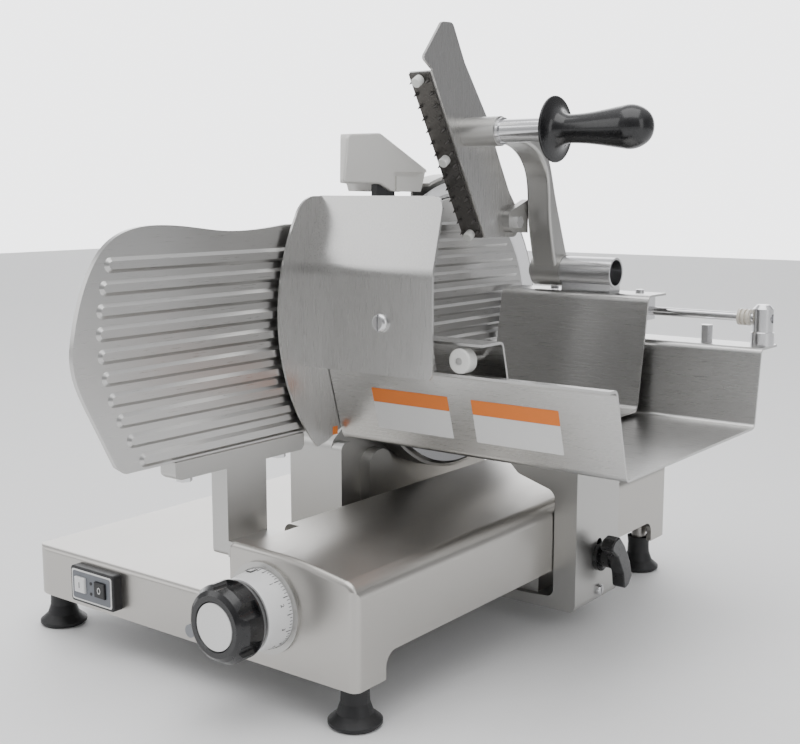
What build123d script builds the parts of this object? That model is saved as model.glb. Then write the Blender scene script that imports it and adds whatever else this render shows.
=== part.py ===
from build123d import *
from math import asin, atan2, cos, degrees, hypot, pi, radians, sin, sqrt
import os

# Vertical-feed deli meat slicer, in millimetres. X runs to the operator's right, Y away from the
# operator along the stroke of the carriage, Z up. All sizes below are worked out from a datum at the
# middle of the base on the counter; the finished parts are moved so that the origin is the middle of
# the whole machine's box, on the counter.

# ---------------------------------------------------------------- driving dimensions
BASE_X = 456.0            # base casting, left to right
BASE_Y = 615.0            # base casting, front to back
FOOT_H = 42.0             # height of a rubber foot, and underside of the casting
FOOT_R = 25.0             # flange of a rubber foot
FOOT_LEFT = (14.0, 28.0)    # left feet, from the side wall and from the end wall
FOOT_RIGHT = (23.0, 26.5)
CORNER_LEFT = 28.0        # upright corners of the casting
CORNER_RIGHT = 8.0
DECK_Z = 95.0             # top of the low deck
HOUSE_W = 153.5           # raised housing at the right of the base
HOUSE_Z = 152.0           # top of the housing at its inner side
HOUSE_FALL = 13.0         # the top falls by this towards the right wall
WALL = 6.0                # casting wall
EDGE_R = 5.0              # rounding of the casting's front and rear edges
RUN = 0.04                # radial clearance of a running fit
SEAT = 0.02               # radial clearance of a fixed fit
GAP = 0.3                 # gap between curved faces on different bodies

BLADE_R = 165.0
BLADE_Y = 96.5            # blade axis
BLADE_Z = 319.0
PLANE_INSET = 17.5        # blade plane, left of the housing's left wall
RING_REACH = 7.0          # outer radius of the ring guard, past the blade's edge
RING_T = 3.5
COVER_INSET = 19.0        # bare rim of the blade round its ribbed cover
RIB_INSET = 5.0           # smooth rim of the cover round its ribs
RIB_PITCH = 19.0
RIB_COUNT = 10
RIB_W = 13.5
RIB_H = 3.0
RIB_TAPER = 50.0
TOP_RIB_Z = 411.0

GAUGE_TRAVEL = 14.0       # thickest slice
KNOB_TURN = 270.0         # degrees of knob for the whole travel
KNOB_FROM_RIGHT = 107.0
KNOB_Z = 98.0
KNOB_R = 36.0
KNOB_SHAFT_R = 6.0
CAM_R = 14.0
FOLLOWER_R = 5.0
GAUGE_ROD_R = 6.0
GAUGE_ROD_Z = 112.0
GAUGE_ROD_Y = (35.5, 61.5)  # from the front face

ROD_R = 10.0              # carriage guide rod
ROD_FROM_RIGHT = 45.0
ROD_Z = 84.0
ARM_Y = (26.0, 122.0)     # carriage arm at rest
ARM_T = 27.0
ARM_GAP = 1.0
ARM_Z = 24.0
LOCK_Z = 76.0
ROLLER_R = 11.0
RAIL_Z = 60.0

TRAY_LEN = 324.5
TRAY_T = 2.5
TRAY_Z = 218.0            # underside of the outer tray
TRAY_TOP = 304.5
TRAY_FRONT = -125.8       # front corner of the floor
TRAY_REAR = 174.0
INNER_LEN = 195.0
INNER_Z = 225.0
INNER_TOP = 355.0
SLIDE_Y = 212.8           # tray rod
SLIDE_Z = 334.2
SLIDE_R = 5.0
TRAY_ROLLER_R = 12.0
PIVOT_Y = 194.5           # axis of the press arm
PIVOT_Z = 377.5
PIVOT_R = 9.0
TUBE_R = 17.5
HANDLE_Y = 49.5
HANDLE_Z = 535.5
HANDLE_R = 12.5
STRIP_LEAN = 31.0         # degrees from upright

DRIVEN_R = 78.0
DRIVER_R = 15.0
PULLEY_REACH = 124.5      # between the two pulley axes
PULLEY_ANGLE = 45.0       # the motor sits above and behind the blade axis
BELT_T = 2.0
SHAFT_R = 17.5
TIE_R = 5.0
MOTOR_R = 46.0
MOTOR_LEN = 105.0
MOTOR_SHAFT_R = 7.0

# ---------------------------------------------------------------- places that follow
LEFT = -BASE_X / 2
RIGHT = BASE_X / 2
FRONT = -BASE_Y / 2
REAR = BASE_Y / 2
HOUSE_X = RIGHT - HOUSE_W
BLADE_X = HOUSE_X - PLANE_INSET
KNOB_X = RIGHT - KNOB_FROM_RIGHT
ROD_X = RIGHT - ROD_FROM_RIGHT
ARM_X = RIGHT + ARM_GAP
ARM_OUT = ARM_X + ARM_T
TRAY_X = BLADE_X + 6.5
TRAY_END = TRAY_X + TRAY_LEN
INNER_END = TRAY_X + INNER_LEN
PED_X = BLADE_X - 29.0    # front face of the pedestal
PED_BACK = PED_X - 60.0
BELT_X = PED_BACK - 25.0  # belt plane, left edge
MOTOR_Y = BLADE_Y + PULLEY_REACH * cos(radians(PULLEY_ANGLE))
MOTOR_Z = BLADE_Z + PULLEY_REACH * sin(radians(PULLEY_ANGLE))
DRIVE_BACK = PED_BACK - 42.0
GAUGE_EDGE_R = BLADE_R + 2.5
RING_R = BLADE_R + RING_REACH
COVER_R = BLADE_R - COVER_INSET
RIB_END_R = COVER_R - RIB_INSET
STRIP_X = (TRAY_X + 3.5, TRAY_X + 30.5)
WEB_X = (STRIP_X[1], STRIP_X[1] + 3.0)
SWITCH_X = LEFT + 115.5
SWITCH_Z = 70.0


# ---------------------------------------------------------------- helpers
def box(x0, x1, y0, y1, z0, z1):
    place = Pos((x0 + x1) / 2, (y0 + y1) / 2, (z0 + z1) / 2)
    return place * Box(x1 - x0, y1 - y0, z1 - z0)


def rod_x(radius, x0, x1, y, z):
    return Pos((x0 + x1) / 2, y, z) * Rot(0, 90, 0) * Cylinder(radius, x1 - x0)


def rod_y(radius, y0, y1, x, z):
    return Pos(x, (y0 + y1) / 2, z) * Rot(90, 0, 0) * Cylinder(radius, y1 - y0)


def rod_z(radius, z0, z1, x, y):
    return Pos(x, y, (z0 + z1) / 2) * Cylinder(radius, z1 - z0)


def outline(points, radii):
    """Closed face through corner points, each corner rounded by its own radius."""
    if isinstance(radii, (int, float)):
        radii = [radii] * len(points)
    return make_face(FilletPolyline(*points, radius=radii, close=True))


def plate_x(face, x0, x1):
    """A face drawn in (y, z), as a plate from x0 to x1."""
    return extrude(Plane.YZ.offset(x0) * face, amount=x1 - x0, dir=(1, 0, 0))


def plate_y(face, y0, y1):
    """A face drawn in (x, z), as a plate from y0 to y1."""
    return extrude(Plane.XZ.offset(-y0) * face, amount=y1 - y0, dir=(0, 1, 0))


def sheet(points, radius, thickness):
    """Section of a folded sheet that follows open corner points."""
    path = FilletPolyline(*points, radius=radius)
    return trace(path, line_width=thickness)


def turned_x(points, y, z):
    """Solid of revolution about an axis along X through (y, z); points are (x, radius)."""
    face = make_face(Polyline(*points, close=True))
    return Pos(0, y, z) * revolve(face, axis=Axis.X)


def turned_y(points, x, z):
    """Solid of revolution about an axis along Y through (x, z); points are (y, radius)."""
    face = make_face(Polyline(*[(radius, along) for along, radius in points], close=True))
    return Pos(x, 0, z) * revolve(face, axis=Axis.Y)


def turned_z(points, x, y):
    """Solid of revolution about an upright axis through (x, y); points are (z, radius)."""
    face = make_face(Polyline(*[(radius, along) for along, radius in points], close=True))
    return Pos(x, y, 0) * revolve(Plane.XZ * face, axis=Axis.Z)


def screw_z(x, y, head_z, shank_z, shank_r, head_r, head_h):
    """Pan-head screw on an upright axis: the head sits on head_z and points away from shank_z."""
    way = 1 if head_z > shank_z else -1
    low, high = sorted((shank_z, head_z))
    head_low, head_high = sorted((head_z, head_z + way * head_h))
    return rod_z(shank_r, low, high, x, y) + rod_z(head_r, head_low, head_high, x, y)


# ---------------------------------------------------------------- base
FOOT_PLACES = [
    (LEFT + FOOT_LEFT[0], FRONT + FOOT_LEFT[1]), (LEFT + FOOT_LEFT[0], REAR - FOOT_LEFT[1]),
    (RIGHT - FOOT_RIGHT[0], FRONT + FOOT_RIGHT[1]), (RIGHT - FOOT_RIGHT[0], REAR - FOOT_RIGHT[1]),
]
COVER_SCREW_PLACES = [(x, y) for x in (LEFT + 40.0, HOUSE_X - 26.5) for y in (FRONT + 67.5, REAR - 67.5)]


def base_section(inset, bottom):
    """Section of the casting in (x, z): low deck, then the raised housing with its sloping top."""
    top_mid = HOUSE_Z - 1.5 - inset
    points = [
        (LEFT + inset, bottom), (LEFT + inset, DECK_Z - inset), (HOUSE_X + inset, DECK_Z - inset),
        (HOUSE_X + inset, HOUSE_Z - inset), (HOUSE_X + 0.55 * HOUSE_W, top_mid),
        (RIGHT - inset, HOUSE_Z - HOUSE_FALL - inset), (RIGHT - inset, bottom),
    ]
    radii = [0, 12.0 - inset, 6.0 + inset, 8.0 - inset, 300.0, 16.0 - inset, 0]
    return outline(points, radii)


def base_plan(inset):
    """Upright prism over the plan of the base: wide rounding at the left corners, tight at the right."""
    x0, x1 = LEFT + inset, RIGHT - inset
    y0, y1 = FRONT + inset, REAR - inset
    left = CORNER_LEFT - inset
    right = max(CORNER_RIGHT - inset, 2.0)
    return extrude(outline([(x0, y0), (x0, y1), (x1, y1), (x1, y0)], [left, left, right, right]), 200)


def leg_arch():
    """Cut-out under the right wall, between the two legs, that the carriage arm passes through."""
    y0 = FRONT + 42.0
    y1 = REAR - 40.0
    face = outline([(y0, 0), (y0, 67.0), (y1, 67.0), (y1, 0)], [0, 14.0, 14.0, 0])
    return plate_x(face, RIGHT - WALL - 12.0, RIGHT + 2.0)


def base_casting():
    shell = plate_y(base_section(0, FOOT_H), FRONT, REAR)
    ends = shell.faces().sort_by(Axis.Y)
    rims = ends[0].edges() + ends[-1].edges()
    rims = [e for e in rims if e.center().Z > FOOT_H + 1]
    shell = fillet(rims, EDGE_R) & base_plan(0)
    shell -= plate_y(base_section(WALL, FOOT_H - 5), FRONT + WALL, REAR - WALL) & base_plan(WALL)
    for x, y in FOOT_PLACES:
        top = (DECK_Z if x < 0 else HOUSE_Z - HOUSE_FALL) - WALL / 2 - 1
        shell += rod_z(9.0, FOOT_H, top, x, y)
    for x, y in COVER_SCREW_PLACES:
        shell += rod_z(6.0, FOOT_H + 3.5, DECK_Z - WALL / 2, x, y)
    for y0, y1 in ((FRONT + WALL / 2, FRONT + 26.5), (REAR - 26.5, REAR - WALL / 2)):
        shell += box(ROD_X - 17, ROD_X + 17, y0, y1, ROD_Z - 22, ROD_Z + 22)
    for y0, y1 in ((FRONT + WALL / 2, FRONT + 22.5), (REAR - 22.5, REAR - WALL / 2)):
        shell += box(HOUSE_X + 5.5, HOUSE_X + 33.5, y0, y1, FOOT_H + 4, RAIL_Z)
    web_y = (FRONT + 23.5, FRONT + 73.5)
    shell += box(KNOB_X + 17, KNOB_X + 23, web_y[0], web_y[1], GAUGE_ROD_Z - 12, HOUSE_Z - WALL / 2 - 2)
    shell += rod_y(14.0, FRONT + WALL / 2, FRONT + WALL + 5.5, KNOB_X, KNOB_Z)
    shell -= leg_arch()
    shell -= rod_y(ROD_R + SEAT, FRONT + WALL + 3.5, REAR - WALL - 3.5, ROD_X, ROD_Z)
    shell -= rod_y(KNOB_SHAFT_R + RUN, FRONT - 5, FRONT + 20, KNOB_X, KNOB_Z)
    for offset in GAUGE_ROD_Y:
        shell -= rod_x(GAUGE_ROD_R + SEAT, HOUSE_X + 2, KNOB_X + 24, FRONT + offset, GAUGE_ROD_Z)
    shell -= box(HOUSE_X - 10, HOUSE_X + 19.5, FRONT + 15.5, FRONT + 77.5, GAUGE_ROD_Z + 12, HOUSE_Z + 5)
    shell -= box(SWITCH_X - 31, SWITCH_X + 31, FRONT - 5, FRONT + 15, SWITCH_Z - 15, SWITCH_Z + 15)
    shell -= rod_y(5.0 + SEAT, FRONT - 5, FRONT + 15, HOUSE_X - 50, 54)
    shell -= rod_y(8.0 + SEAT, REAR - 15, REAR + 5, LEFT + 90, 66)
    for x, y in FOOT_PLACES:
        shell -= rod_z(4.0 + SEAT, FOOT_H - 2, FOOT_H + 24, x, y)
    for x, y in COVER_SCREW_PLACES:
        shell -= rod_z(2.0 + SEAT, FOOT_H, FOOT_H + 14, x, y)
    return shell


def rubber_feet():
    feet = []
    profile = [
        (0, 0), (0, FOOT_R - 3), (2.5, FOOT_R), (5, FOOT_R), (12, 17), (22, 13.5), (34, 13),
        (FOOT_H, 14), (FOOT_H, 4.0), (FOOT_H + 20, 4.0), (FOOT_H + 20, 0),
    ]
    for x, y in FOOT_PLACES:
        feet.append(turned_z(profile, x, y))
    return Compound(children=feet)


def bottom_cover():
    """Flat plate under the low deck, with the four pins and heads that hold it."""
    plate = box(LEFT + WALL + 2, HOUSE_X - 12, FRONT + 46, REAR - 46, FOOT_H + 2, FOOT_H + 3.5)
    for x, y in COVER_SCREW_PLACES:
        plate += rod_z(4.0, FOOT_H, FOOT_H + 2, x, y) + rod_z(2.0, FOOT_H + 2, FOOT_H + 12, x, y)
    return plate


def carriage_guide_rod():
    return rod_y(ROD_R, FRONT + WALL + 4, REAR - WALL - 4, ROD_X, ROD_Z)


def roller_rail():
    return box(HOUSE_X + 9.5, HOUSE_X + 29.5, FRONT + WALL + 0.5, REAR - WALL - 0.5, RAIL_Z, RAIL_Z + 6)


def switch_box():
    """Black frame in the front wall, with a pocket that guides the two buttons."""
    face = outline([(SWITCH_X - 34, SWITCH_Z - 19), (SWITCH_X - 34, SWITCH_Z + 19),
                    (SWITCH_X + 34, SWITCH_Z + 19), (SWITCH_X + 34, SWITCH_Z - 19)], 4.0)
    body = plate_y(face, FRONT - 11, FRONT)
    body = fillet(body.faces().sort_by(Axis.Y)[0].edges(), 1.5)
    body += box(SWITCH_X - 30.8, SWITCH_X + 30.8, FRONT, FRONT + 28, SWITCH_Z - 14.8, SWITCH_Z + 14.8)
    for x in BUTTON_X:
        body -= box(x - 8.3, x + 8.3, FRONT - 12, FRONT + 16, BUTTON_Z - 8.3, BUTTON_Z + 8.3)
    return body


BUTTON_X = (SWITCH_X - 16.5, SWITCH_X + 14.8)
BUTTON_Z = SWITCH_Z + 1.0


def button(x):
    body = box(x - 8, x + 8, FRONT - 14.2, FRONT + 8, BUTTON_Z - 8, BUTTON_Z + 8)
    return fillet(body.faces().sort_by(Axis.Y)[0].edges(), 1.0)


def cable_gland():
    """Cord inlet in the rear wall: a hexagon, a neck and an open bore."""
    x = LEFT + 90
    body = rod_y(8.0, REAR - WALL - 8, REAR, x, 66)
    nut = Plane.XZ.offset(-REAR) * Pos(x, 66) * RegularPolygon(12.0, 6)
    body += extrude(nut, amount=7, dir=(0, 1, 0))
    body += rod_y(9.0, REAR + 7, REAR + 16, x, 66)
    return body - rod_y(4.5, REAR - 40, REAR + 20, x, 66)


def front_plug():
    x = HOUSE_X - 50
    return rod_y(5.0, FRONT - 1, FRONT + WALL + 3, x, 54) + rod_y(6.5, FRONT - 4, FRONT, x, 54)


# ---------------------------------------------------------------- pedestal and drive
def pulley_hull(hub_r, motor_r):
    """Face in (y, z) that wraps a circle at the blade axis and one at the motor axis."""
    hub = Pos(BLADE_Y, BLADE_Z) * Circle(hub_r)
    motor = Pos(MOTOR_Y, MOTOR_Z) * Circle(motor_r)
    return make_hull(hub.edges() + motor.edges())


def pedestal():
    """Casting that carries the blade: a hollow foot on the deck, the hub and the drive plate."""
    foot = [(-105, DECK_Z), (-105, 204), (20, 292), (175, 292), (196, 204), (196, DECK_Z)]
    body = plate_x(outline(foot, [0, 14, 20, 20, 14, 0]), PED_BACK, PED_X)
    body += rod_x(62.0, PED_BACK, PED_X, BLADE_Y, BLADE_Z)
    body += plate_x(pulley_hull(90.0, 52.0), PED_BACK, PED_BACK + 8)
    cavity = [(-98, DECK_Z - 1), (-98, 199), (16, 250), (178, 250), (189, 199), (189, DECK_Z - 1)]
    body -= plate_x(outline(cavity, [0, 8, 14, 14, 8, 0]), PED_BACK + 8, PED_X - 8)
    shoulder = outline([(-105, DECK_Z), (-105, 204), (-86, 204), (-86, 150), (-70, 135), (-70, DECK_Z)],
                       [0, 8, 4, 10, 10, 0])
    body += plate_x(shoulder, PED_X, PED_X + 14)
    finger = outline([(-57, DECK_Z), (-57, 187), (-16, 187), (-16, DECK_Z)], [0, 19, 19, 0])
    body += plate_x(finger, PED_X, PED_X + 14)
    saddle = outline([(-16, DECK_Z), (-16, 168), (47, 128), (196, 118), (196, DECK_Z)], [0, 3, 30, 6, 0])
    body += plate_x(saddle, PED_X, PED_X + 9)
    body -= rod_x(26.0, PED_BACK - 1, PED_X + 1, BLADE_Y, BLADE_Z)
    body -= rod_x(36.0 + SEAT, PED_X - 16, PED_X + 1, BLADE_Y, BLADE_Z)
    body -= rod_x(36.0 + SEAT, PED_BACK - 1, PED_BACK + 16, BLADE_Y, BLADE_Z)
    body -= rod_x(22.0, PED_BACK - 1, PED_BACK + 9, MOTOR_Y, MOTOR_Z)
    return body


def hub_bearings():
    rings = []
    for x0 in (PED_X - 15.5, PED_BACK + 1.5):
        ring = rod_x(36.0, x0, x0 + 14, BLADE_Y, BLADE_Z)
        rings.append(ring - rod_x(SHAFT_R + RUN, x0 - 1, x0 + 15, BLADE_Y, BLADE_Z))
    return Compound(children=rings)


def drive_housing():
    """Cup behind the pedestal that closes in the belt and carries the motor."""
    body = plate_x(pulley_hull(90.0, 52.0), DRIVE_BACK, PED_BACK)
    body -= plate_x(pulley_hull(85.0, 46.0), DRIVE_BACK + 6, PED_BACK + 1)
    body = fillet(body.faces().sort_by(Axis.X)[0].outer_wire().edges(), 4.0)
    body -= rod_x(TIE_R + RUN, DRIVE_BACK - 1, DRIVE_BACK + 7, BLADE_Y, BLADE_Z)
    body -= rod_x(16.0, DRIVE_BACK - 1, DRIVE_BACK + 7, MOTOR_Y, MOTOR_Z)
    return body


def motor_housing():
    """Finned motor body with a bearing bore at its front and a closed rear bell."""
    x1 = DRIVE_BACK
    x0 = x1 - MOTOR_LEN
    body = rod_x(MOTOR_R - 5, x0 + 18, x1, MOTOR_Y, MOTOR_Z) + rod_x(MOTOR_R, x1 - 9, x1, MOTOR_Y, MOTOR_Z)
    body += rod_x(MOTOR_R - 2, x0, x0 + 24, MOTOR_Y, MOTOR_Z)
    for k in range(24):
        fin = box(x0 + 20, x1 - 6, -1.1, 1.1, MOTOR_R - 8, MOTOR_R - 0.5)
        body += Pos(0, MOTOR_Y, MOTOR_Z) * Rot(360.0 * k / 24, 0, 0) * fin
    body = fillet(body.faces().sort_by(Axis.X)[0].edges(), 5.0)
    body -= rod_x(MOTOR_SHAFT_R + RUN, x1 - 80, x1 + 1, MOTOR_Y, MOTOR_Z)
    return body - rod_x(24.0, x1 - 66, x1 - 14, MOTOR_Y, MOTOR_Z)


def motor_shaft():
    """Shaft with the rotor pack that turns inside the motor."""
    shaft = rod_x(MOTOR_SHAFT_R, DRIVE_BACK - 76, BELT_X + 15, MOTOR_Y, MOTOR_Z)
    return shaft + rod_x(23.5, DRIVE_BACK - 64, DRIVE_BACK - 16, MOTOR_Y, MOTOR_Z)


def pulley(radius, bore, y, z, web):
    """Belt pulley with two low flanges; a large one is lightened by a groove in each face."""
    x0 = BELT_X - 1.5
    x1 = x0 + 15
    body = rod_x(radius, x0, x1, y, z)
    body += rod_x(radius + 3, x0, x0 + 1.2, y, z) + rod_x(radius + 3, x1 - 1.2, x1, y, z)
    body -= rod_x(bore + SEAT, x0 - 1, x1 + 1, y, z)
    if web:
        groove = rod_x(radius - 8, x0, x0 + 5, y, z) - rod_x(bore + 10, x0, x0 + 5, y, z)
        body -= groove
        body -= Pos(10, 0, 0) * groove
    return body


def drive_belt():
    x0 = BELT_X
    loop = plate_x(pulley_hull(DRIVEN_R + GAP + BELT_T, DRIVER_R + GAP + BELT_T), x0, x0 + 12)
    return loop - plate_x(pulley_hull(DRIVEN_R + GAP, DRIVER_R + GAP), x0 - 1, x0 + 13)


def cover_tie_rod():
    """Rod through the hollow shaft that holds the ribbed cover, with its knob at the back."""
    body = rod_x(TIE_R, DRIVE_BACK - 12, BLADE_X - 7, BLADE_Y, BLADE_Z)
    knob = rod_x(17.0, DRIVE_BACK - 24, DRIVE_BACK - 4, BLADE_Y, BLADE_Z)
    knob = fillet(knob.faces().sort_by(Axis.X)[0].edges(), 4.0)
    return body + knob + rod_x(9.0, DRIVE_BACK - 4, DRIVE_BACK, BLADE_Y, BLADE_Z)


# ---------------------------------------------------------------- blade
def blade():
    """Dished blade: flat middle, cone, and a hollow-ground rim that ends in the blade plane."""
    x = BLADE_X
    profile = [
        (x - 19, 22), (x - 19, BLADE_R - 37), (x - 11, BLADE_R - 25), (x - 8, BLADE_R - 13),
        (x - 0.5, BLADE_R), (x, BLADE_R), (x - 5, BLADE_R - 14), (x - 7, BLADE_R - 24),
        (x - 15, BLADE_R - 35), (x - 15, 22),
    ]
    disc = turned_x(profile, BLADE_Y, BLADE_Z)
    for y, z in hub_screw_places():
        disc -= rod_x(3.2, x - 25, x - 10, y, z)
    return disc


def hub_screw_places():
    spots = []
    for k in range(4):
        turn = radians(45 + 90 * k)
        spots.append((BLADE_Y + 42 * cos(turn), BLADE_Z + 42 * sin(turn)))
    return spots


def blade_hub():
    """Hollow shaft with the flange and spigot that the blade is bolted to."""
    x = BLADE_X
    body = rod_x(SHAFT_R, BELT_X - 3, x - 24, BLADE_Y, BLADE_Z)
    body += rod_x(60.0, x - 25.5, x - 19, BLADE_Y, BLADE_Z)
    body += rod_x(22.0 - SEAT, x - 19, x - 15, BLADE_Y, BLADE_Z)
    body -= rod_x(TIE_R + 2.5, BELT_X - 5, x, BLADE_Y, BLADE_Z)
    for y, z in hub_screw_places():
        body -= rod_x(3.0 + SEAT, x - 26, x - 10, y, z)
    return body


def blade_screws():
    x = BLADE_X
    screws = []
    for y, z in hub_screw_places():
        head = rod_x(5.5, x - 15, x - 11.5, y, z)
        slot = box(x - 12.7, x - 11, y - 6, y + 6, z - 0.7, z + 0.7)
        screws.append(rod_x(3.0, x - 25, x - 15, y, z) + head - slot)
    return Compound(children=screws)


def rib(y0, y1, z, face_x):
    """Raised rib along Y, with sloping sides and round ends, that stands on face_x."""
    low = Pos((y0 + y1) / 2, z) * SlotOverall(y1 - y0, RIB_W)
    return extrude(Plane.YZ.offset(face_x) * low, amount=RIB_H - 0.2, dir=(1, 0, 0), taper=RIB_TAPER)


def rib_heights():
    return [TOP_RIB_Z - RIB_PITCH * k for k in range(RIB_COUNT)]


def blade_cover():
    x = BLADE_X
    disc = rod_x(COVER_R, x - 4.6, x - 2.8, BLADE_Y, BLADE_Z)
    disc = fillet(disc.faces().sort_by(Axis.X)[-1].edges(), 1.0)
    disc += rod_x(14.0, x - 13, x - 4, BLADE_Y, BLADE_Z)
    for k in range(-1, 12):
        z = TOP_RIB_Z + RIB_PITCH - RIB_PITCH * (k + 1)
        rise = abs(z - BLADE_Z)
        if rise + RIB_W < RIB_END_R:
            half = sqrt(RIB_END_R ** 2 - rise ** 2)
            if half > 2 * RIB_W:
                disc += rib(BLADE_Y - half, BLADE_Y + half, z, x - 2.9)
    return disc - rod_x(TIE_R + SEAT, x - 20, x - 6.8, BLADE_Y, BLADE_Z)


def blade_ring():
    """Guard round the blade, open at the front by the gauge plate and at the top for the sharpener."""
    x = BLADE_X
    web = rod_x(RING_R, PED_X, PED_X + 3, BLADE_Y, BLADE_Z)
    web -= rod_x(62.5, PED_X - 1, PED_X + 4, BLADE_Y, BLADE_Z)
    band = rod_x(RING_R, PED_X + 3, x - 3.5, BLADE_Y, BLADE_Z)
    band -= rod_x(RING_R - RING_T, PED_X + 2, x, BLADE_Y, BLADE_Z)
    up = tan_deg(51.0)
    down = tan_deg(36.0)
    wedge = outline([(BLADE_Y, BLADE_Z), (BLADE_Y - 300, BLADE_Z - 300 * down),
                     (BLADE_Y - 300, BLADE_Z + 300 * up)], 0)
    band -= plate_x(wedge, PED_X + 3, x + 1)
    mouth = box(PED_X - 1, x + 1, BLADE_Y - 190, POST_Y + 52, SHARP_TOP - 36, SHARP_TOP + 5)
    return web + band - mouth


def tan_deg(angle):
    return sin(radians(angle)) / cos(radians(angle))


# ---------------------------------------------------------------- thickness gauge
def gauge_outline():
    """Outline of the gauge plate in (y, z): round front, waved top, rear edge round the blade."""
    top_z = 440.0
    low_z = 231.0
    top_y = BLADE_Y - sqrt(GAUGE_EDGE_R ** 2 - (top_z - BLADE_Z) ** 2)
    low_y = BLADE_Y - sqrt(GAUGE_EDGE_R ** 2 - (low_z - BLADE_Z) ** 2)
    front = FRONT - 147.0
    nose = Spline((FRONT - 54, 443), (FRONT - 111, 427), (front, 352), (FRONT - 137, 295),
                  tangents=[(-1, 0), (0.5, -1)])
    wave = Spline((FRONT - 54, 443), (FRONT + 26, 436), (FRONT + 108, 440),
                  tangents=[(1, 0), (1, 0.12)])
    edges = [
        wave,
        Line((FRONT + 108, 440), (top_y, top_z)),
        ThreePointArc((top_y, top_z), (BLADE_Y - GAUGE_EDGE_R, BLADE_Z), (low_y, low_z)),
        Line((low_y, low_z), (FRONT - 98, low_z)),
        Line((FRONT - 98, low_z), (FRONT - 108, low_z + 7)),
        Line((FRONT - 108, low_z + 7), (FRONT - 137, 295)),
        nose,
    ]
    return make_face(edges)


def gauge_rib_start(z):
    """Left end of a rib: the ribs start a little inside the round front of the plate."""
    reach = ((z - 352.0) / 100.0) ** 2
    return FRONT - 125.0 + 33.0 * reach


def gauge_plate():
    x = BLADE_X
    plate = plate_x(gauge_outline(), x - 8, x - RIB_H)
    for z in rib_heights():
        end = BLADE_Y - sqrt(GAUGE_EDGE_R ** 2 - (z - BLADE_Z) ** 2) - 8
        plate += rib(gauge_rib_start(z), end, z, x - RIB_H - 0.1)
    for y in GAUGE_BOLT_Y:
        plate += box(x - 21, x - 8, y - 13, y + 13, 231, 241)
        plate -= rod_z(4.0 + SEAT, 229, 239, x - 14, y)
    return plate


GAUGE_BOLT_Y = (FRONT - 22.0, FRONT + 104.0)


def gauge_bracket():
    """Column, bar and slide block that carry the gauge plate on its two rods."""
    x = BLADE_X
    bar = outline([(FRONT - 44, 231), (FRONT - 44, 218), (FRONT - 38, 214), (FRONT + 124, 214),
                   (FRONT + 128, 218), (FRONT + 128, 231)], [0, 4, 4, 3, 3, 0])
    body = plate_x(bar, x - 21, x - 1)
    column = outline([(FRONT + 19.5, 222), (FRONT + 19.5, 128), (FRONT + 72.5, 128), (FRONT + 72.5, 222)],
                     [0, 5, 5, 0])
    body += plate_x(column, x - 22, x - 1)
    block_x = KNOB_X - 23
    body += box(x - 1.5, block_x + 30, FRONT + 19.5, FRONT + 72.5, 128, HOUSE_Z - 8.5)
    body += box(block_x, block_x + 30, FRONT + 23.5, FRONT + 73.5, 91, 129)
    for offset in GAUGE_ROD_Y:
        body -= rod_x(GAUGE_ROD_R + RUN, block_x - 1, block_x + 31, FRONT + offset, GAUGE_ROD_Z)
    pin_x = KNOB_X - CAM_R - FOLLOWER_R - GAP
    body += rod_y(FOLLOWER_R, FRONT + 13.5, FRONT + 24, pin_x, KNOB_Z)
    for y in GAUGE_BOLT_Y:
        body -= rod_z(4.0 + SEAT, 200, 232, x - 14, y)
    return body


def gauge_bolts():
    bolts = []
    for y in GAUGE_BOLT_Y:
        head = Pos(BLADE_X - 14, y, 208.5) * extrude(RegularPolygon(7.5, 6), amount=5.5)
        bolts.append(head + rod_z(4.0, 214, 238, BLADE_X - 14, y))
    return Compound(children=bolts)


def gauge_rods():
    rods = []
    for offset in GAUGE_ROD_Y:
        rods.append(rod_x(GAUGE_ROD_R, HOUSE_X + 2.5, KNOB_X + 23, FRONT + offset, GAUGE_ROD_Z))
    return Compound(children=rods)


def cam_shaft():
    """Knob shaft that ends in a flat cam; the cam's radius grows as it pushes the follower left."""
    y0 = FRONT + 13.5
    rise = GAUGE_TRAVEL / KNOB_TURN
    points = []
    for step in range(0, 33):
        turn = -25.0 + 320.0 * step / 32
        angle = radians(180.0 - turn)
        radius = CAM_R + rise * turn
        points.append((KNOB_X + radius * cos(angle), KNOB_Z + radius * sin(angle)))
    face = make_face([Spline(*points), Line(points[-1], points[0])])
    return plate_y(face, y0, y0 + 8) + rod_y(KNOB_SHAFT_R, FRONT - 40, y0 + 8.5, KNOB_X, KNOB_Z)


def dial_bezel():
    ring = rod_y(43.0, FRONT - 3, FRONT, KNOB_X, KNOB_Z)
    return ring - rod_y(37.6, FRONT - 4, FRONT + 1, KNOB_X, KNOB_Z)


def dial_ring():
    """Graduated ring that turns with the knob."""
    profile = [(FRONT - 29.5, 0), (FRONT - 29.5, 33.5), (FRONT - 27, 34.5), (FRONT - 2, 37.2),
               (FRONT - 0.5, 37.2), (FRONT - 0.5, 0)]
    ring = turned_y(profile, KNOB_X, KNOB_Z)
    return ring - rod_y(KNOB_SHAFT_R + SEAT, FRONT - 31, FRONT + 1, KNOB_X, KNOB_Z)


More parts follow.
